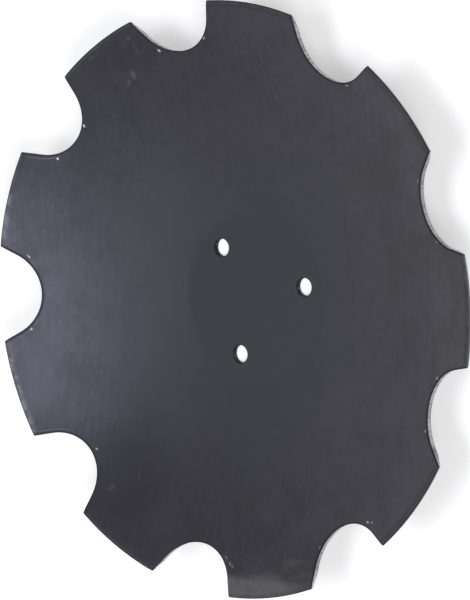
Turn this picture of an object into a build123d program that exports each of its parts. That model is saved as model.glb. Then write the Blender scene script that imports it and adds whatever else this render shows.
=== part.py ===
"""Notched coulter disc: one dished steel plate that cuts and turns soil as it rolls.

The disc lies as it comes to rest, hollow side up on its flat centre. The origin is
on the disc's axis at the flat centre's back face, and +Z runs up into the hollow.
Sizes are in millimetres and angles in degrees.
"""

from build123d import *
import math
import os

os.makedirs("parts", exist_ok=True)

# Plate and dish
disc_diameter = 460.0  # over the cutting rim
plate_thickness = 5.0  # square to the surface, the same all over
dish_depth = 46.5  # flat centre's front face up to the rim, before the rim is worn down
centre_diameter = 131.0  # flat centre, across the ring where the dish would meet it sharply
centre_blend_radius = 60.0  # eases the flat centre into the dish, on the front face

# Rim: a narrow worn band in front, a land, and a ground bevel behind
front_band_width = 3.5  # measured straight in from the rim
front_band_drop = 0.6  # how far the rim edge lies below the dish's own curve
land_height = 2.2  # blunt edge of the rim, along the axis
bevel_width = 9.0  # measured straight in from the rim

# Notches
notch_count = 9
notch_depth = 34.0  # from the rim in to the root
notch_root_radius = 36.5
notch_flank_angle = 30.5  # each straight flank from the notch's own centre line
notch_edge_break = 0.7  # punching rolls the front edge over a little

# Bolt holes, which hold the disc to its hub
bolt_count = 3
bolt_circle_diameter = 98.0
bolt_hole_diameter = 14.0
bolt_start_angle = -10.0  # first hole from the first notch's centre line

# How far each cutting outline runs past the plate
cut_margin = 5.0

# A face whose normal rises by more than this share of its length is a front face
front_face_rise = 0.5

# Worked out from the sizes above
rim_radius = disc_diameter / 2
centre_radius = centre_diameter / 2
bolt_circle_radius = bolt_circle_diameter / 2

# The dish is part of a sphere whose centre lies on the axis above the plate
sphere_rise = (dish_depth**2 + rim_radius**2 - centre_radius**2) / (2 * dish_depth)
sphere_height = plate_thickness + sphere_rise
front_sphere_radius = math.hypot(sphere_rise, centre_radius)
back_sphere_radius = front_sphere_radius + plate_thickness
back_centre_radius = math.sqrt(back_sphere_radius**2 - sphere_height**2)


def dish_height(radius, sphere_radius):
    """Height of a dished face at this distance from the axis."""
    return sphere_height - math.sqrt(sphere_radius**2 - radius**2)


def dish_point(radius, sphere_radius):
    """Point of the section on a dished face."""
    return (radius, dish_height(radius, sphere_radius))


def halfway(inner_radius, outer_radius):
    """Radius that the middle point of a dished arc is given."""
    return (inner_radius + outer_radius) / 2


front_band_start = dish_point(rim_radius - front_band_width, front_sphere_radius)
front_middle = dish_point(halfway(centre_radius, front_band_start[0]), front_sphere_radius)
bevel_start = dish_point(rim_radius - bevel_width, back_sphere_radius)
back_middle = dish_point(halfway(back_centre_radius, bevel_start[0]), back_sphere_radius)

rim_height = dish_height(rim_radius, front_sphere_radius) - front_band_drop
land_foot = (rim_radius, rim_height - land_height)

# Each notch is an arc round its root with a straight flank at either side
notch_root = rim_radius - notch_depth
notch_arc_centre = notch_root + notch_root_radius
notch_flank_slope = math.tan(math.radians(notch_flank_angle))
flank_start_x = notch_arc_centre - notch_root_radius * math.sin(math.radians(notch_flank_angle))
flank_start_y = notch_root_radius * math.cos(math.radians(notch_flank_angle))
flank_end_x = rim_radius + cut_margin
flank_end_y = flank_start_y + (flank_end_x - flank_start_x) * notch_flank_slope

cut_height = rim_height + cut_margin

with BuildSketch() as notch_outline:
    with BuildLine():
        ThreePointArc(
            (flank_start_x, flank_start_y), (notch_root, 0), (flank_start_x, -flank_start_y)
        )
        Line((flank_start_x, -flank_start_y), (flank_end_x, -flank_end_y))
        Line((flank_end_x, -flank_end_y), (flank_end_x, flank_end_y))
        Line((flank_end_x, flank_end_y), (flank_start_x, flank_start_y))
    make_face()

with BuildPart() as notched_disc:
    # The plate in section, from the axis out to the rim and back
    with BuildSketch(Plane.XZ) as section:
        with BuildLine():
            Line((0, 0), (0, plate_thickness))
            Line((0, plate_thickness), (centre_radius, plate_thickness))
            ThreePointArc((centre_radius, plate_thickness), front_middle, front_band_start)
            Line(front_band_start, (rim_radius, rim_height))
            Line((rim_radius, rim_height), land_foot)
            Line(land_foot, bevel_start)
            ThreePointArc(bevel_start, back_middle, (back_centre_radius, 0))
            Line((back_centre_radius, 0), (0, 0))
        make_face()
        front_break = section.vertices().sort_by_distance((centre_radius, plate_thickness))[0]
        fillet(front_break, centre_blend_radius)
        back_break = section.vertices().sort_by_distance((back_centre_radius, 0))[0]
        fillet(back_break, centre_blend_radius + plate_thickness)
    revolve(axis=Axis.Z)

    # Open notches, evenly spaced round the rim
    with BuildSketch(Plane.XY):
        with PolarLocations(0, notch_count):
            add(notch_outline.sketch)
    extrude(amount=cut_height, mode=Mode.SUBTRACT)
    cut_edges = notched_disc.edges(Select.NEW)
    front_faces = notched_disc.faces().filter_by(lambda face: face.normal_at().Z > front_face_rise)
    chamfer(cut_edges & front_faces.edges(), notch_edge_break)

    # Bolt holes through the flat centre
    with Locations(Plane.XY.offset(plate_thickness)):
        with PolarLocations(bolt_circle_radius, bolt_count, start_angle=bolt_start_angle):
            Hole(radius=bolt_hole_diameter / 2)

notched_disc.part.label = "notched_disc"
export_step(notched_disc.part, "parts/notched_disc.step")
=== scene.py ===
"""A notched coulter disc, lying hollow side up on a pale floor."""

import math

import bmesh
import bpy
from mathutils import Matrix, Vector


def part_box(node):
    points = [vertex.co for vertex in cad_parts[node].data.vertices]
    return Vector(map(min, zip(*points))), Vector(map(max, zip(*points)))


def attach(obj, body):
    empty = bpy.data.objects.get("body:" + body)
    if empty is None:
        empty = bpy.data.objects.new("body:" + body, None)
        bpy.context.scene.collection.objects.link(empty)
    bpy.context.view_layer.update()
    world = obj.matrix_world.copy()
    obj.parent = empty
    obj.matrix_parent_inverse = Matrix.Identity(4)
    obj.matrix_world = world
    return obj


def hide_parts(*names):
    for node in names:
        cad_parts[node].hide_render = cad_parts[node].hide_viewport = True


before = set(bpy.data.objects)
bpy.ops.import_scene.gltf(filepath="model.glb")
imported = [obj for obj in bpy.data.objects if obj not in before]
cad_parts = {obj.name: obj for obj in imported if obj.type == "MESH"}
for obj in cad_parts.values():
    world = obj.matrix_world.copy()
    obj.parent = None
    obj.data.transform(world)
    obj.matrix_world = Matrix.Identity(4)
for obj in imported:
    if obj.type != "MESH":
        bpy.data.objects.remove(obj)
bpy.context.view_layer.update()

# The disc's plate. It is one piece of 5 mm steel: cut out with nine open notches, drilled,
# pressed to a dish round a flat centre, and ground to an edge behind the rim. Its front and
# back faces and the walls between them are one closed mesh, in metres.
rim_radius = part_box("notched_disc")[1].y
plate_thickness = 0.005
dish_depth = 0.0465
centre_radius = 0.0655
centre_blend_radius = 0.060

band_width = 0.0035
band_start = rim_radius - band_width
band_drop = 0.0006
bevel_width = 0.009
bevel_start = rim_radius - bevel_width
land_height = 0.0022

notch_count = 9
notch_depth = 0.034
notch_root_radius = 0.0365
notch_flank_angle = math.radians(30.5)
notch_pitch = math.tau / notch_count

bolt_count = 3
bolt_circle_radius = 0.049
bolt_hole_radius = 0.007
bolt_start_angle = math.radians(-10)

rounded_edge = 0.0006
rolled_width = 0.0028
rolled_depth = 0.00020
inner_strip = 0.0013

sphere_rise = (dish_depth**2 + rim_radius**2 - centre_radius**2) / (2 * dish_depth)
sphere_centre = plate_thickness + sphere_rise
front_sphere_radius = math.hypot(sphere_rise, centre_radius)
blend_sphere_radius = front_sphere_radius - centre_blend_radius
blend_start = math.sqrt(
    blend_sphere_radius**2 - (sphere_rise - centre_blend_radius) ** 2
)


def face_height(radius, depth):
    """Height of the dished face that lies this deep in the plate, at this radius."""
    flat = plate_thickness - depth
    blend_radius = centre_blend_radius + depth
    sphere_radius = front_sphere_radius + depth
    if radius < blend_start:
        return flat
    if radius < blend_start * sphere_radius / blend_sphere_radius:
        return flat + blend_radius - math.sqrt(blend_radius**2 - (radius - blend_start) ** 2)
    return sphere_centre - math.sqrt(sphere_radius**2 - radius**2)


rim_height = face_height(rim_radius, 0) - band_drop


def front_height(radius):
    """Height of the front, with the narrow band along the rim."""
    if radius < band_start:
        return face_height(radius, 0)
    share = (radius - band_start) / band_width
    return face_height(band_start, 0) * (1 - share) + rim_height * share


def back_height(radius):
    """Height of the back, with the ground bevel that runs up to the rim."""
    if radius < bevel_start:
        return face_height(radius, plate_thickness)
    share = (radius - bevel_start) / bevel_width
    foot = face_height(bevel_start, plate_thickness)
    return foot * (1 - share) + (rim_height - land_height) * share


def turn_of(point):
    """Angle of a point round the disc's axis, from 0 up to a full turn."""
    return math.atan2(point.y, point.x) % math.tau


def on_circle(radius, turn):
    """Point at this radius and angle round the disc's axis."""
    return Vector((radius * math.cos(turn), radius * math.sin(turn), 0))


# A notch's round root has its centre here, and ends where the straight flanks begin. The
# flanks' lines pass this far from the axis.
arc_centre = rim_radius - notch_depth + notch_root_radius
flank_foot = Vector((
    arc_centre - notch_root_radius * math.sin(notch_flank_angle),
    notch_root_radius * math.cos(notch_flank_angle),
    0,
))
flank_reach = flank_foot.x * math.sin(notch_flank_angle) - flank_foot.y * math.cos(notch_flank_angle)


def flank_turn(radius):
    """Angle from a notch's centre line at which its flank crosses this radius."""
    return notch_flank_angle - math.asin(flank_reach / radius)


def notch_distance(point):
    """Distance of a point in the plate from the edge of the nearest notch."""
    turn = (turn_of(point) + notch_pitch / 2) % notch_pitch - notch_pitch / 2
    radius = point.to_2d().length
    place = Vector((radius * math.cos(turn), abs(radius * math.sin(turn)), 0))
    along_flank = on_circle(1, notch_flank_angle)
    if (place - flank_foot).dot(along_flank) > 0:
        return (place - flank_foot).dot(Vector((-along_flank.y, along_flank.x, 0)))
    return math.hypot(place.x - arc_centre, place.y) - notch_root_radius


def new_verts(made):
    """Vertices that an operator has made."""
    return [item for item in made if isinstance(item, bmesh.types.BMVert)]


def new_rim(made):
    """Edges that an extrusion has made along its far side."""
    fresh = set(new_verts(made))
    return [
        item for item in made
        if isinstance(item, bmesh.types.BMEdge) and fresh.issuperset(item.verts)
    ]


# One pitch of the outline inside the bevel: round root, flank, tooth and the next flank
root_steps = 50
flank_steps = 4
tooth_steps = 26
merge_distance = 1e-5
plate = bmesh.new()
lean = plate.verts.layers.float.new("lean")
wall_depth = plate.verts.layers.float.new("wall_depth")
notch_gap = plate.verts.layers.float.new("notch_gap")
foot = plate.verts.new((flank_foot.x, -flank_foot.y, 0))
root = bmesh.ops.spin(
    plate, geom=[foot], cent=(arc_centre, 0, 0), axis=(0, 0, 1),
    angle=2 * notch_flank_angle - math.pi, steps=root_steps,
)
last = new_verts(root["geom_last"])[0]
flank_top = on_circle(bevel_start, flank_turn(bevel_start))
for step in range(flank_steps):
    last = bmesh.ops.extrude_vert_indiv(plate, verts=[last])["verts"][0]
    last.co = flank_foot.lerp(flank_top, (step + 1) / flank_steps)
tooth = bmesh.ops.spin(
    plate, geom=[last], cent=(0, 0, 0), axis=(0, 0, 1),
    angle=notch_pitch - 2 * flank_turn(bevel_start), steps=tooth_steps,
)
last = new_verts(tooth["geom_last"])[0]
to_next = Matrix.Rotation(notch_pitch, 3, "Z")
next_top = last.co.copy()
for step in range(flank_steps):
    last = bmesh.ops.extrude_vert_indiv(plate, verts=[last])["verts"][0]
    last.co = next_top.lerp(to_next @ foot.co, (step + 1) / flank_steps)

# Each spoke of the mesh leans this much on its way in, so that it ends evenly spaced
pitch_steps = len(plate.verts) - 1
first_turn = math.atan2(foot.co.y, foot.co.x)
for index, vert in enumerate(plate.verts):
    even_turn = first_turn + notch_pitch * index / pitch_steps
    vert[lean] = even_turn - math.atan2(vert.co.y, vert.co.x)
bmesh.ops.spin(
    plate, geom=plate.verts[:] + plate.edges[:], cent=(0, 0, 0), axis=(0, 0, 1),
    angle=notch_pitch * (notch_count - 1), steps=notch_count - 1, use_duplicate=True,
)
bmesh.ops.remove_doubles(plate, verts=plate.verts, dist=merge_distance)
outline = plate.edges[:]
tooth_edges = [
    edge for edge in outline
    if all(abs(vert.co.length - bevel_start) < merge_distance for vert in edge.verts)
]

# The teeth's ends go out past the bevel and the band, between the flanks
tooth_radius = bevel_start
for radius in (bevel_start + bevel_width / 3, band_start, rim_radius):
    made = bmesh.ops.extrude_edge_only(plate, edges=tooth_edges)["geom"]
    tooth_edges = new_rim(made)
    spread = (notch_pitch / 2 - flank_turn(radius)) / (notch_pitch / 2 - flank_turn(tooth_radius))
    for vert in new_verts(made):
        middle = (math.floor(turn_of(vert.co) / notch_pitch) + 0.5) * notch_pitch
        vert.co = on_circle(radius, middle + (turn_of(vert.co) - middle) * spread)
    tooth_radius = radius

# Rings run in from the outline to a full circle, with a first stride of double width
full_circle = 0.150
ring_strides = [2] + [1] * 13
all_strides = sum(ring_strides)
strides_left = all_strides
ring = outline
for stride in ring_strides:
    made = bmesh.ops.extrude_edge_only(plate, edges=ring)["geom"]
    ring = new_rim(made)
    for vert in new_verts(made):
        radius = vert.co.length
        radius += (full_circle - radius) * stride / strides_left
        turn = turn_of(vert.co) + vert[lean] * stride / all_strides
        vert.co = on_circle(radius, turn)
    strides_left -= stride

# More rings run on to the flat centre, closer together where the dish eases into it
ring_spacing = 0.006
even_ring_count = 13
even_rings = [full_circle - ring_spacing * (step + 1) for step in range(even_ring_count)]
easing_rings = [0.0695, 0.0677, 0.0658, 0.0638, 0.0618, 0.0600]
ring_radius = full_circle
for radius in even_rings + easing_rings:
    made = bmesh.ops.extrude_edge_only(plate, edges=ring)["geom"]
    ring = new_rim(made)
    shrink = radius / ring_radius
    bmesh.ops.scale(plate, vec=(shrink, shrink, 1), verts=new_verts(made))
    ring_radius = radius

# The flat centre is filled in round its bolt holes
hole_steps = 64
hole_edges = []
for index in range(bolt_count):
    place = on_circle(bolt_circle_radius, bolt_start_angle + index * math.tau / bolt_count)
    hole = bmesh.ops.create_circle(
        plate, segments=hole_steps, radius=bolt_hole_radius, matrix=Matrix.Translation(place)
    )
    hole_edges += {edge for vert in hole["verts"] for edge in vert.link_edges}
bmesh.ops.triangle_fill(plate, edges=ring + hole_edges, use_beauty=True)

# Two narrow strips follow every edge, for the roll that punching leaves at the notches
for strip in (rolled_width, inner_strip):
    bmesh.ops.inset_region(
        plate, faces=plate.faces[:], thickness=strip, use_boundary=True, use_even_offset=True
    )

# The back is the same sheet again, and the walls join the two. The mesh stores how far each
# place lies from a notch, as a share of the limit, and whether it lies in front or behind.
gap_limit = 0.020
front_verts = plate.verts[:]
made = bmesh.ops.extrude_face_region(plate, geom=plate.faces[:], use_keep_orig=True)["geom"]
for vert in front_verts:
    gap = notch_distance(vert.co)
    rolled_share = min(1, max(0, 1 - gap / rolled_width))
    vert.co.z = front_height(vert.co.to_2d().length) - rolled_depth * rolled_share**2
    vert[notch_gap] = min(gap, gap_limit) / gap_limit
for vert in new_verts(made):
    vert[notch_gap] = min(notch_distance(vert.co), gap_limit) / gap_limit
    vert[wall_depth] = 1
    vert.co.z = back_height(vert.co.to_2d().length)
bmesh.ops.recalc_face_normals(plate, faces=plate.faces[:])

# Material places: paint on the dished faces, and the kinds of cut and ground surface. A
# wall's normal rises less than this, and the rim's faces lie within this of its circle.
painted, rolled, ground, cut, drilled = range(5)
wall_rise = 0.1
rim_margin = 1e-4
for face in plate.faces:
    radius = face.calc_center_median().to_2d().length
    upright_wall = abs(face.normal.z) < wall_rise
    if upright_wall and radius < centre_radius:
        face.material_index = drilled
    elif upright_wall and radius < rim_radius - rim_margin:
        face.material_index = cut
    elif upright_wall or (radius > bevel_start and face.normal.z < 0):
        face.material_index = ground
    else:
        face.material_index = painted

# Every edge of the walls is rounded a little, and the tips of the teeth with them
sharp_angle = math.radians(35)
bevelled = bmesh.ops.bevel(
    plate, geom=[edge for edge in plate.edges if edge.calc_face_angle(0) > sharp_angle],
    offset=rounded_edge, offset_type="OFFSET", segments=3, profile=0.5, affect="EDGES",
    material=-1, clamp_overlap=True,
)
for face in bevelled["faces"]:
    if face.normal.z > wall_rise:
        face.material_index = rolled

disc_mesh = bpy.data.meshes.new("coulter_disc")
plate.to_mesh(disc_mesh)
plate.free()
disc_mesh.shade_smooth()
disc = bpy.data.objects.new("coulter_disc", disc_mesh)
bpy.context.scene.collection.objects.link(disc)
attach(disc, "root")
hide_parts("notched_disc")


# The paint. A satin charcoal coat with a lilac cast over the whole plate, cloudy and faintly
# streaked, and painted lighter over the middle of the dish as painted light. Painted shade darkens
# the rolled edges and a patch low on the left, painted sheen and highlights lie along the rim and
# some notch edges, and the coat is knocked to bare steel beside the notches, scuffed near the
# rim, and dusty on the tooth that it stood on.
def add_node(tree, kind, inputs=None, **settings):
    """A node of this kind with its settings, and its inputs either set or linked."""
    node = tree.nodes.new(kind)
    for name, value in settings.items():
        setattr(node, name, value)
    for key, value in (inputs or {}).items():
        socket = node.inputs[key]
        if isinstance(value, bpy.types.NodeSocket):
            tree.links.new(value, socket)
        else:
            socket.default_value = value
    return node


def calculate(tree, operation, first, second):
    """Result of this sum on two values."""
    return add_node(tree, "ShaderNodeMath", {0: first, 1: second}, operation=operation).outputs[0]


def calculate_vector(tree, operation, first, second):
    """Result of this sum on two vectors."""
    return add_node(
        tree, "ShaderNodeVectorMath", {0: first, 1: second}, operation=operation
    ).outputs["Vector"]


def eased(tree, value, start, end, low=0.0, high=1.0):
    """A value that eases from low to high while another goes from start to end."""
    return add_node(tree, "ShaderNodeMapRange", {
        "Value": value, "From Min": start, "From Max": end, "To Min": low, "To Max": high,
    }, interpolation_type="SMOOTHSTEP").outputs["Result"]


def noise(tree, vector, scale, detail=3.0, roughness=0.55):
    """Noise on this vector, about a half."""
    return add_node(tree, "ShaderNodeTexNoise", {
        "Vector": vector, "Scale": scale, "Detail": detail, "Roughness": roughness,
    }).outputs["Fac"]


def stretched(tree, vector, scale):
    """The vector stretched along its axes."""
    return calculate_vector(tree, "MULTIPLY", vector, scale)


def length_of(tree, vector):
    """Length of a vector."""
    return add_node(
        tree, "ShaderNodeVectorMath", {0: vector}, operation="LENGTH"
    ).outputs["Value"]


def from_axis(tree, place):
    """Distance of a place from the disc's axis."""
    return length_of(tree, stretched(tree, place, (1.0, 1.0, 0.0)))


def towards(tree, place, degrees):
    """How far a place lies out from the axis in this direction round the disc."""
    return add_node(tree, "ShaderNodeVectorMath", {
        0: place, 1: on_circle(1, math.radians(degrees)),
    }, operation="DOT_PRODUCT").outputs["Value"]


def turned(tree, place, turn, invert=False):
    """The place turned round the disc's axis."""
    return add_node(tree, "ShaderNodeVectorRotate", {
        "Vector": place, "Angle": turn,
    }, rotation_type="Z_AXIS", invert=invert).outputs["Vector"]


def blend(tree, share, first, second):
    """Colour between two, by this share."""
    return add_node(
        tree, "ShaderNodeMix", {0: share, 6: first, 7: second}, data_type="RGBA"
    ).outputs[2]


def between(tree, share, first, second):
    """Value between two, by this share."""
    return add_node(tree, "ShaderNodeMix", {0: share, 2: first, 3: second}).outputs[0]


def attribute(tree, name):
    """A value that the mesh stores at its vertices."""
    return add_node(tree, "ShaderNodeAttribute", attribute_name=name).outputs["Fac"]


def from_notch(tree):
    """Distance from the edge of the nearest notch, as far as the mesh stores it."""
    return calculate(tree, "MULTIPLY", attribute(tree, "notch_gap"), gap_limit)


def on_front(x, y):
    """Place on the disc's front face."""
    return Vector((x, y, front_height(math.hypot(x, y))))


def new_group(name, inputs, outputs):
    """A shader node group with these sockets, and its first and last node."""
    group = bpy.data.node_groups.new(name, "ShaderNodeTree")
    for socket, kind in inputs:
        group.interface.new_socket(socket, in_out="INPUT", socket_type=kind)
    for socket, kind in outputs:
        group.interface.new_socket(socket, in_out="OUTPUT", socket_type=kind)
    return group, group.nodes.new("NodeGroupInput"), group.nodes.new("NodeGroupOutput")


def use_group(tree, group, inputs):
    """Outputs of a group in this tree."""
    return add_node(tree, "ShaderNodeGroup", inputs, node_tree=group).outputs


vector_socket = "NodeSocketVector"
float_socket = "NodeSocketFloat"

# Turned by this much, Y runs up the picture of the photographed disc
upright_turn = math.radians(22.7)

# Clouds, streaks down the picture and orange peel in the paint, and a lighter, greener middle of the dish
# that is painted light
grain_and_lit_middle, start, end = new_group(
    "paint_grain_and_lit_middle", [("Vector", vector_socket)],
    [("Tone", float_socket), ("Hue", float_socket), ("Fleck", float_socket), ("Height", float_socket)],
)
place = start.outputs["Vector"]
upright = turned(grain_and_lit_middle, place, upright_turn)
streaks = noise(grain_and_lit_middle, stretched(grain_and_lit_middle, upright, (1.0, 0.06, 0.0)), 300, 2.0)
fine_streaks = noise(grain_and_lit_middle, stretched(grain_and_lit_middle, upright, (1.0, 0.10, 0.0)), 900, 1.0)
clouds = noise(grain_and_lit_middle, place, 26, 4.0)
mottle = noise(grain_and_lit_middle, place, 150, 3.0, 0.65)
tone = between(grain_and_lit_middle, 0.22, between(grain_and_lit_middle, 0.45, clouds, mottle), streaks)
grain_and_lit_middle.links.new(eased(grain_and_lit_middle, tone, 0.40, 0.60), end.inputs["Tone"])
# Painted light: the paint turns lighter and greener towards the middle of the dish, with a wavering edge
waver = calculate(grain_and_lit_middle, "MULTIPLY", noise(grain_and_lit_middle, place, 14, 3.0), 0.16)
wavering_radius = calculate(grain_and_lit_middle, "ADD", from_axis(grain_and_lit_middle, place), waver)
grain_and_lit_middle.links.new(eased(grain_and_lit_middle, wavering_radius, 0.26, 0.16), end.inputs["Hue"])
specks = noise(grain_and_lit_middle, place, 800, 1.0)
grain_and_lit_middle.links.new(eased(grain_and_lit_middle, specks, 0.70, 0.78), end.inputs["Fleck"])
peel = noise(grain_and_lit_middle, place, 300, 2.0, 0.45)
grain_and_lit_middle.links.new(between(grain_and_lit_middle, 0.3, peel, fine_streaks), end.inputs["Height"])

# One knock, scuff, tint patch, painted highlight or painted shade patch: an oval spot with a ragged
# outline, turned round the disc's axis
spot, start, end = new_group(
    "ragged_spot",
    [("Vector", vector_socket), ("Place", vector_socket), ("Size", vector_socket),
     ("Turn", float_socket), ("Strength", float_socket)],
    [("Mask", float_socket)],
)
offset = calculate_vector(spot, "SUBTRACT", start.outputs["Vector"], start.outputs["Place"])
offset = turned(spot, offset, start.outputs["Turn"], invert=True)
offset = calculate_vector(spot, "DIVIDE", offset, start.outputs["Size"])
inside = eased(spot, length_of(spot, offset), 1.15, 0.45)
spot.links.new(calculate(spot, "MULTIPLY", inside, start.outputs["Strength"]), end.inputs["Mask"])

mm = 0.001

# Knocks beside the notches: the notch's angle, then millimetres across its centre line and
# out from the axis, half length, half width and strength
edge_knocks = (
    (0, -24.8, 202.0, 2.0, 1.0, 0.22),
    (0, 21.2, 200.2, 2.0, 1.0, 0.22),
    (40, 23.0, 201.0, 2.6, 0.8, 0.40),
    (80, -24.0, 200.7, 2.0, 1.2, 1.00),
    (80, 22.0, 201.0, 2.6, 1.0, 0.70),
    (120, -24.7, 200.4, 1.7, 1.4, 1.00),
    (120, 12.9, 195.9, 2.0, 1.2, 0.95),
    (160, -29.3, 204.7, 1.8, 1.4, 0.48),
    (160, 30.4, 204.3, 2.8, 0.8, 0.62),
    (200, -3.0, 191.0, 1.6, 0.8, 0.62),
    (240, -29.8, 203.8, 2.6, 0.7, 0.40),
    (240, -24.3, 200.0, 2.3, 0.9, 0.42),
    (240, -33.0, 205.0, 1.8, 0.6, 0.30),
    (280, -29.3, 204.0, 2.2, 1.1, 0.50),
    (280, -33.5, 206.2, 1.8, 0.9, 0.35),
    (280, 23.0, 201.0, 1.4, 0.8, 0.30),
    (320, 23.3, 201.0, 1.5, 1.2, 0.55),
    (320, -17.0, 197.5, 2.4, 1.6, 0.34),
)

# Painted highlights along the edges in the same terms, and the flanks that have a painted highlight line
edge_highlights = (
    (160, -23.0, 199.9, 8.0, 2.2, 0.46),
    (160, 24.5, 200.8, 8.0, 2.2, 0.42),
    (160, -36.5, 216.5, 7.0, 0.8, 0.25),
)
highlit_flanks = (
    (120, -33.0, 211.0, 21.0, 21.0, 0.65),
    (200, 33.0, 211.0, 22.0, 22.0, 0.55),
)

# Scuffs: millimetres along X and Y, half length, half width, turn and strength
paint_scuffs = (
    (-22.5, 194.5, 5.0, 2.8, 75, 0.38),
    (-30.0, 191.0, 4.2, 1.8, 30, 0.26),
    (-7.5, 211.0, 8.0, 0.9, 95, 0.20),
    (-8.0, 220.0, 2.3, 1.9, 0, 0.26),
    (128.0, 147.0, 2.5, 1.0, 40, 0.30),
    (-172.0, -102.0, 4.6, 2.4, 20, 0.20),
    (-145.0, 128.0, 1.3, 0.8, 70, 0.25),
    (-165.0, 95.0, 1.3, 0.8, 70, 0.25),
    (-160.0, 113.0, 1.3, 0.8, 70, 0.25),
    (-147.5, -100.5, 8.5, 0.9, 79, 0.18),
    (-174.0, 22.0, 3.0, 0.8, 70, 0.20),
    (-185.0, 26.0, 3.0, 0.8, 70, 0.20),
    (-48.0, 219.0, 4.5, 2.0, 12, 0.15),
    (-173.0, 67.0, 1.6, 1.0, 0, 0.20),
    (-179.0, 64.0, 1.6, 1.0, 0, 0.20),
    (-15.5, -206.0, 12.0, 3.2, -15, 0.16),
    (-13.0, -218.0, 12.0, 2.6, -10, 0.12),
)

# How far the spots' outlines waver, how deep they reach into the plate, and how much smaller
# than in its row a spot beside a notch is drawn
ragged_reach = 0.0022
spot_thickness = 0.003
beside_notch_share = 0.8
# Masks of the knocks, and of the scuffs together with the painted highlights beside the notches
wear_and_sheen, start, end = new_group(
    "knocks_scuffs_and_highlights", [("Vector", vector_socket)],
    [("Bare", float_socket), ("ScuffsAndSheen", float_socket)],
)
ragged = add_node(wear_and_sheen, "ShaderNodeTexNoise", {
    "Vector": start.outputs["Vector"], "Scale": 700, "Detail": 2.0,
}).outputs["Color"]
ragged = calculate_vector(wear_and_sheen, "SUBTRACT", ragged, (0.5, 0.5, 0.5))
ragged = stretched(wear_and_sheen, ragged, (ragged_reach, ragged_reach, ragged_reach))
ragged = calculate_vector(wear_and_sheen, "ADD", ragged, start.outputs["Vector"])


def beside_notch(angle, across, out, half_length, half_width, strength):
    """Mask of a ragged spot that lies along the edge of a notch."""
    notch_turn = math.radians(angle)
    along_edge = math.atan2(-across, out - arc_centre / mm) + math.pi / 2 + notch_turn
    place = Matrix.Rotation(notch_turn, 3, "Z") @ Vector((out, -across, 0)) * mm
    length = half_length * beside_notch_share * mm
    width = half_width * beside_notch_share * mm
    return use_group(wear_and_sheen, spot, {
        "Vector": ragged, "Place": on_front(place.x, place.y),
        "Size": (length, width, max(spot_thickness, width)),
        "Turn": along_edge, "Strength": strength,
    })["Mask"]


bare = 0.0
for knock in edge_knocks:
    bare = calculate(wear_and_sheen, "MAXIMUM", bare, beside_notch(*knock))
wear_and_sheen.links.new(bare, end.inputs["Bare"])
scuffs_and_sheen = 0.0
for line in edge_highlights:
    scuffs_and_sheen = calculate(wear_and_sheen, "MAXIMUM", scuffs_and_sheen, beside_notch(*line))
gap = from_notch(wear_and_sheen)
highlight_line_mask = calculate(
    wear_and_sheen, "MULTIPLY", eased(wear_and_sheen, gap, 0.0020, 0.0025), eased(wear_and_sheen, gap, 0.0037, 0.0030)
)
# A painted highlight line along each of these flanks, a little in from the edge
for flank in highlit_flanks:
    flank_sheen = calculate(wear_and_sheen, "MULTIPLY", highlight_line_mask, beside_notch(*flank))
    scuffs_and_sheen = calculate(wear_and_sheen, "MAXIMUM", scuffs_and_sheen, flank_sheen)
for x, y, half_length, half_width, turn, strength in paint_scuffs:
    mask = use_group(wear_and_sheen, spot, {
        "Vector": ragged, "Place": on_front(x * mm, y * mm),
        "Size": (half_length * mm, half_width * mm, spot_thickness),
        "Turn": math.radians(turn), "Strength": strength,
    })["Mask"]
    scuffs_and_sheen = calculate(wear_and_sheen, "MAXIMUM", scuffs_and_sheen, mask)
wear_and_sheen.links.new(scuffs_and_sheen, end.inputs["ScuffsAndSheen"])

# Dust on the tooth that points down the picture, wavering at its edge, with a thin haze above
down_turn = 252
dust, start, end = new_group("standing_dust", [("Vector", vector_socket)], [("Dust", float_socket)])
place = start.outputs["Vector"]
upright = turned(dust, place, upright_turn)
swirl = noise(dust, stretched(dust, upright, (0.30, 1.0, 0.0)), 120, 4.0, 0.6)
waver = calculate(dust, "MULTIPLY", swirl, 0.014)
down = calculate(dust, "ADD", towards(dust, place, down_turn), waver)
settled = eased(dust, down, 0.2165, 0.2260)
patchy = eased(dust, noise(dust, place, 160, 3.0), 0.30, 0.55, 0.75, 1.0)
left_half = add_node(dust, "ShaderNodeSeparateXYZ", {0: place}).outputs["X"]
left_half = eased(dust, left_half, -0.004, -0.028, 0.45, 1.0)
low_tooth = calculate(dust, "MULTIPLY", calculate(dust, "MULTIPLY", settled, patchy), left_half)
haze = calculate(dust, "MULTIPLY", eased(dust, down, 0.196, 0.222), eased(dust, swirl, 0.42, 0.62))
haze = calculate(dust, "MULTIPLY", haze, 0.20)
dust.links.new(calculate(dust, "MAXIMUM", low_tooth, haze), end.inputs["Dust"])

# The coat's cast, and the steel that its knocks lay bare
lilac_tint = (0.80, 0.79, 1.0, 1)
bare_steel = (0.72, 0.71, 0.70, 1)


def new_material(name):
    """An empty material on the disc, its tree and the object's own coordinates."""
    material = bpy.data.materials.new(name)
    material.use_nodes = True
    material.node_tree.nodes.clear()
    disc_mesh.materials.append(material)
    tree = material.node_tree
    return tree, add_node(tree, "ShaderNodeTexCoord").outputs["Object"]


def coated(tree, colour, coat, mask, share=1.0):
    """The colour with another over it where the mask is, as thick as this share."""
    return blend(tree, calculate(tree, "MULTIPLY", mask, share), colour, coat)


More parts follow.
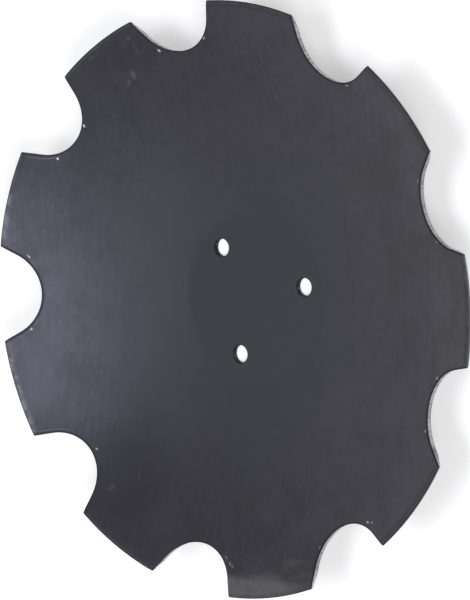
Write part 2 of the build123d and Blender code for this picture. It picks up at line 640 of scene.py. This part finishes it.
def finish(tree, colour, roughness, metallic, height, bump_depth, specular=0.5):
    """The shader at the end of a material, with its bump."""
    bump = add_node(tree, "ShaderNodeBump", {
        "Strength": 1.0, "Distance": bump_depth, "Height": height,
    })
    shader = add_node(tree, "ShaderNodeBsdfPrincipled", {
        "Base Color": colour, "Roughness": roughness, "Metallic": metallic,
        "Normal": bump.outputs["Normal"], "Specular Tint": lilac_tint,
        "Specular IOR Level": specular,
    })
    add_node(tree, "ShaderNodeOutputMaterial", {"Surface": shader.outputs["BSDF"]})


# Both dished faces, with painted sheen on the band along the rim behind a soft dark line of painted
# shade, and a painted highlight on the rim of the left teeth
left_turn = 165
dark_charcoal = (0.0275, 0.0270, 0.0308, 1)
light_charcoal = (0.0392, 0.0386, 0.0440, 1)
lit_middle_charcoal = (0.0462, 0.0490, 0.0520, 1)
cool_charcoal = (0.0310, 0.0440, 0.0460, 1)
painted_shade_charcoal = (0.0155, 0.0152, 0.0146, 1)
edge_shade_black = (0.010, 0.010, 0.012, 1)
band_sheen_grey = (0.060, 0.060, 0.068, 1)
left_rim_highlight_grey = (0.25, 0.25, 0.27, 1)
fleck_grey = (0.10, 0.10, 0.11, 1)
scuff_and_sheen_grey = (0.14, 0.14, 0.15, 1)
dust_grey = (0.131, 0.129, 0.132, 1)
knock_height = -2.5

tree, place = new_material("charcoal_paint")
surface = use_group(tree, grain_and_lit_middle, {"Vector": place})
wear_and_sheen_masks = use_group(tree, wear_and_sheen, {"Vector": place})
dusty = use_group(tree, dust, {"Vector": place})["Dust"]
radius = from_axis(tree, place)
left_side = towards(tree, place, left_turn)
left_teeth = eased(tree, left_side, 0.190, 0.216)

# The band along the rim is painted lighter in patches, as painted sheen
band_patches = eased(tree, noise(tree, place, 130, 3.0), 0.36, 0.60)
band = calculate(
    tree, "MULTIPLY", eased(tree, radius, band_start - 0.0002, band_start + 0.0006), band_patches
)
# A painted highlight along the rim of the teeth on the left
left_rim_highlight = calculate(
    tree, "MULTIPLY", eased(tree, radius, band_start - 0.0026, band_start + 0.0010),
    eased(tree, band_patches, 0.0, 1.0, 0.35, 1.0),
)
left_rim_highlight = calculate(tree, "MULTIPLY", left_rim_highlight, left_teeth)

# Painted shade: dark lines along the rim, at the band's inner edge and along the notch edges, the notch
# line wider towards the left and the band's line fainter there
band_shade_line = calculate(
    tree, "MULTIPLY", eased(tree, radius, band_start - 0.0014, band_start - 0.0002),
    eased(tree, radius, band_start + 0.0010, band_start),
)
band_shade_line = calculate(tree, "MULTIPLY", band_shade_line, between(tree, left_teeth, 0.6, 0.1))
rim_shade_line = eased(tree, radius, rim_radius - 0.0012, rim_radius - 0.0007)
wider = calculate(tree, "MULTIPLY", eased(tree, left_side, 0.12, 0.19), 0.0010)
notch_shade_line = eased(tree, calculate(tree, "SUBTRACT", from_notch(tree), wider), 0.0018, 0.0012)
edge_shade_lines = calculate(tree, "MAXIMUM", rim_shade_line, notch_shade_line)
edge_shade_lines = calculate(tree, "MAXIMUM", edge_shade_lines, band_shade_line)

cool_patch = use_group(tree, spot, {
    "Vector": place, "Place": on_front(-0.203, 0.008), "Size": (0.024, 0.034, 0.040),
    "Turn": -upright_turn, "Strength": 0.55,
})["Mask"]
# A painted dark patch low on the left of the dish, as painted shade
painted_shade_patch = use_group(tree, spot, {
    "Vector": place, "Place": on_front(-0.167, -0.094), "Size": (0.050, 0.050, 0.050),
    "Turn": 0.0, "Strength": 0.60,
})["Mask"]
dusty = calculate(
    tree, "MULTIPLY", dusty, eased(tree, radius, rim_radius - 0.0036, rim_radius - 0.0022, 1.0, 0.45)
)

# Painted light and shade in this chain: the lighter middle, the dark patch, the band's sheen, the left
# rim's highlight, the dark edge lines and the highlights in the scuffs' mask
colour = blend(tree, surface["Tone"], dark_charcoal, light_charcoal)
colour = coated(tree, colour, lit_middle_charcoal, surface["Hue"], 0.60)
colour = coated(tree, colour, cool_charcoal, cool_patch)
colour = coated(tree, colour, painted_shade_charcoal, painted_shade_patch)
colour = coated(tree, colour, band_sheen_grey, band, 0.55)
colour = coated(tree, colour, left_rim_highlight_grey, left_rim_highlight, 0.75)
colour = coated(tree, colour, edge_shade_black, edge_shade_lines, 0.75)
colour = coated(tree, colour, fleck_grey, surface["Fleck"], 0.35)
colour = coated(tree, colour, scuff_and_sheen_grey, wear_and_sheen_masks["ScuffsAndSheen"])
colour = coated(tree, colour, dust_grey, dusty, 0.85)
colour = coated(tree, colour, bare_steel, wear_and_sheen_masks["Bare"])
roughness = between(tree, surface["Tone"], 0.37, 0.32)
roughness = between(tree, edge_shade_lines, roughness, 0.50)
roughness = between(tree, wear_and_sheen_masks["ScuffsAndSheen"], roughness, 0.55)
roughness = between(tree, dusty, roughness, 0.80)
roughness = between(tree, wear_and_sheen_masks["Bare"], roughness, 0.42)
height = between(tree, wear_and_sheen_masks["Bare"], surface["Height"], knock_height)
finish(tree, colour, roughness, wear_and_sheen_masks["Bare"], height, bump_depth=0.00002)

# The rounded edges in front, painted near black as painted shade, with lighter rubbed patches, and
# painted lighter along the rim of the tooth on the right as painted light
right_turn = -20
rolled_shade_black = (0.009, 0.009, 0.010, 1)
rolled_shade_charcoal = (0.016, 0.016, 0.018, 1)
rubbed_edge_grey = (0.060, 0.060, 0.064, 1)
right_rim_light_grey = (0.130, 0.130, 0.137, 1)

tree, place = new_material("rolled_edge_shade")
surface = use_group(tree, grain_and_lit_middle, {"Vector": place})
wear_and_sheen_masks = use_group(tree, wear_and_sheen, {"Vector": place})
rubbed = eased(tree, noise(tree, place, 240, 3.0, 0.6), 0.60, 0.72)
# Painted light along the rim of the tooth on the right
right_rim_light = calculate(
    tree, "MULTIPLY", eased(tree, from_axis(tree, place), rim_radius - 0.0014, rim_radius - 0.0004),
    eased(tree, towards(tree, place, right_turn), 0.190, 0.222, 0.10, 0.85),
)
# The edges' near-black colours are painted shade
colour = blend(tree, surface["Tone"], rolled_shade_black, rolled_shade_charcoal)
colour = coated(tree, colour, rubbed_edge_grey, rubbed, 0.5)
colour = coated(tree, colour, right_rim_light_grey, right_rim_light)
colour = coated(tree, colour, bare_steel, wear_and_sheen_masks["Bare"])
roughness = between(tree, surface["Tone"], 0.60, 0.50)
finish(tree, colour, roughness, wear_and_sheen_masks["Bare"], surface["Height"], bump_depth=0.00003, specular=0.15)

# The bevel behind the rim and the rim's blunt edge: painted over the marks of grinding
ground_charcoal = (0.022, 0.0225, 0.027, 1)
ground_grey = (0.040, 0.041, 0.048, 1)
ground_shade = (0.020, 0.020, 0.024, 1)
rubbed_rim_grey = (0.175, 0.174, 0.184, 1)

tree, place = new_material("ground_edge")
surface = use_group(tree, grain_and_lit_middle, {"Vector": place})
radius = from_axis(tree, place)
waver = calculate(tree, "MULTIPLY", noise(tree, place, 40, 2.0), 0.002)
rings = add_node(tree, "ShaderNodeCombineXYZ", {"X": calculate(tree, "ADD", radius, waver)}).outputs[0]
scratches = noise(tree, rings, 2600, 2.0, 0.7)
rubbed = calculate(
    tree, "MULTIPLY", eased(tree, radius, rim_radius - 0.0012, rim_radius - 0.0001),
    eased(tree, noise(tree, place, 120, 3.0), 0.36, 0.60, 0.60, 1.0),
)
colour = blend(tree, scratches, ground_charcoal, ground_grey)
colour = coated(tree, colour, ground_shade, surface["Tone"], 0.3)
colour = coated(tree, colour, rubbed_rim_grey, rubbed)
roughness = between(tree, scratches, 0.34, 0.46)
metallic = calculate(tree, "MULTIPLY", rubbed, 0.3)
finish(tree, colour, roughness, metallic, scratches, bump_depth=0.00005)

# The notch walls: sheared steel under a thin coat, streaked through the plate's thickness,
# with the steel showing through midway
sheared_grey = (0.075, 0.074, 0.080, 1)
light_sheared_grey = (0.130, 0.129, 0.137, 1)
showing_steel = (0.50, 0.50, 0.52, 1)

tree, place = new_material("sheared_wall")
across_wall = stretched(tree, place, (1.0, 1.0, 0.06))
streaks = noise(tree, across_wall, 420, 3.0, 0.65)
fine_streaks = noise(tree, across_wall, 1500, 2.0, 0.6)
patches = eased(tree, noise(tree, place, 60, 2.0), 0.36, 0.56, 0.60, 1.0)
depth = attribute(tree, "wall_depth")
midway = calculate(
    tree, "MULTIPLY", eased(tree, depth, 0.02, 0.30, 0.25, 1.0), eased(tree, depth, 0.98, 0.70, 0.35, 1.0)
)
showing = calculate(tree, "MULTIPLY", eased(tree, streaks, 0.20, 0.60), midway)
showing = calculate(tree, "MULTIPLY", showing, patches)
colour = blend(tree, fine_streaks, sheared_grey, light_sheared_grey)
colour = coated(tree, colour, showing_steel, showing)
roughness = between(tree, showing, 0.55, 0.42)
metallic = calculate(tree, "MULTIPLY", showing, 0.6)
height = between(tree, 0.4, streaks, fine_streaks)
finish(tree, colour, roughness, metallic, height, bump_depth=0.00010)

# The bolt holes' walls: black and rough inside, with lighter flecks
bore_black = (0.007, 0.007, 0.008, 1)
bore_charcoal = (0.016, 0.016, 0.018, 1)
bore_fleck_grey = (0.24, 0.24, 0.25, 1)

tree, place = new_material("drilled_wall")
rings = noise(tree, stretched(tree, place, (0.15, 0.15, 1.0)), 1800, 2.0, 0.6)
flecks = eased(tree, noise(tree, place, 340, 3.0, 0.6), 0.53, 0.62)
colour = blend(tree, rings, bore_black, bore_charcoal)
colour = coated(tree, colour, bore_fleck_grey, flecks, 0.7)
roughness = between(tree, rings, 0.65, 0.50)
finish(tree, colour, roughness, 0.0, rings, bump_depth=0.00006, specular=0.2)

# The floor. A round pale sweep that curves up to a low wall, far enough off that the disc
# stands alone on it. It glows to the camera and in mirrored rays, so that it is seen as plain
# white.
floor_radius = 5.0
cove_radius = 0.6
wall_height = 1.5
floor_level = -0.0002
glow_share = 0.45
sweep = bmesh.new()
middle = sweep.verts.new((0, 0, floor_level))
edge_vert = bmesh.ops.extrude_vert_indiv(sweep, verts=[middle])["verts"][0]
edge_vert.co.x = floor_radius
cove = bmesh.ops.spin(
    sweep, geom=[edge_vert], cent=(floor_radius, 0, floor_level + cove_radius), axis=(0, 1, 0),
    angle=-math.pi / 2, steps=16,
)
top = bmesh.ops.extrude_vert_indiv(sweep, verts=new_verts(cove["geom_last"]))["verts"][0]
top.co.z = wall_height
bmesh.ops.spin(
    sweep, geom=sweep.verts[:] + sweep.edges[:], cent=(0, 0, 0), axis=(0, 0, 1),
    angle=math.tau, steps=96, use_merge=True,
)
bmesh.ops.remove_doubles(sweep, verts=sweep.verts, dist=merge_distance)
bmesh.ops.recalc_face_normals(sweep, faces=sweep.faces[:])
floor_mesh = bpy.data.meshes.new("floor")
sweep.to_mesh(floor_mesh)
sweep.free()
floor_mesh.shade_smooth()
floor = bpy.data.objects.new("floor", floor_mesh)
bpy.context.scene.collection.objects.link(floor)

pale = bpy.data.materials.new("pale_floor")
pale.use_nodes = True
pale.node_tree.nodes.clear()
tree = pale.node_tree
path = add_node(tree, "ShaderNodeLightPath").outputs
seen = calculate(tree, "MAXIMUM", path["Is Camera Ray"], path["Is Glossy Ray"])
seen = calculate(tree, "MAXIMUM", seen, path["Is Transmission Ray"])
far_off = length_of(tree, add_node(tree, "ShaderNodeTexCoord").outputs["Object"])
far_glow = calculate(tree, "MULTIPLY", eased(tree, far_off, 1.0, 3.5), path["Is Camera Ray"])
far_glow = calculate(tree, "MULTIPLY", far_glow, glow_share)
near_glow = calculate(tree, "MULTIPLY", seen, glow_share)
matt = add_node(tree, "ShaderNodeBsdfDiffuse", {"Color": (0.80, 0.80, 0.80, 1)})
glow = add_node(tree, "ShaderNodeEmission", {
    "Color": (1, 1, 1, 1), "Strength": calculate(tree, "ADD", near_glow, far_glow),
})
both = add_node(tree, "ShaderNodeAddShader", {0: matt.outputs[0], 1: glow.outputs[0]})
add_node(tree, "ShaderNodeOutputMaterial", {"Surface": both.outputs[0]})
floor_mesh.materials.append(pale)


# The studio light. A cool soft overhead box that the dish mirrors, with a dim one beside it,
# dim sheets on the left and behind, a soft main lamp on the right, and an even dim surround.
def soft_lamp(name, place, width, height, power, colour=(1, 1, 1)):
    """A soft rectangular lamp at this place that faces the disc."""
    light = bpy.data.lights.new(name, "AREA")
    light.shape = "RECTANGLE"
    light.size = width
    light.size_y = height
    light.energy = power
    light.color = colour
    lamp = bpy.data.objects.new(name, light)
    lamp.location = place
    lamp.rotation_euler = (-Vector(place)).to_track_quat("-Z", "Y").to_euler()
    bpy.context.scene.collection.objects.link(lamp)


soft_lamp("overhead_box", (0.0, -0.14, 3.0), 1.1, 1.7, 32, (0.90, 0.905, 1.0))
soft_lamp("overhead_side", (-1.05, -0.25, 2.75), 1.2, 1.7, 5)
soft_lamp("left_sheet", (-3.2, -0.2, 1.4), 5.0, 2.2, 16)
soft_lamp("back_sheet", (-1.9, 1.5, 1.7), 1.6, 1.2, 2.0)
soft_lamp("main_lamp", (1.9, -1.4, 2.2), 1.2, 1.2, 43)
surround_strength = 0.2
world = bpy.data.worlds.new("studio")
world.use_nodes = True
surround = world.node_tree.nodes["Background"].inputs
surround["Color"].default_value = (1, 1, 1, 1)
surround["Strength"].default_value = surround_strength
bpy.context.scene.world = world
bpy.context.scene.view_settings.view_transform = "Standard"

# The camera. It looks down on the lying disc along the line from which the photographed
# one is seen, with the same turn of the picture and the same long lens.
camera_place = (1.27655, -0.25834, 1.64460)
camera_turn = (-7.0627, 38.3466, -22.7132)
lens = bpy.data.cameras.new("camera")
lens.sensor_width = 36
lens.lens = 161.14
camera = bpy.data.objects.new("camera", lens)
camera.location = camera_place
camera.rotation_euler = [math.radians(angle) for angle in camera_turn]
bpy.context.scene.collection.objects.link(camera)
bpy.context.scene.camera = camera
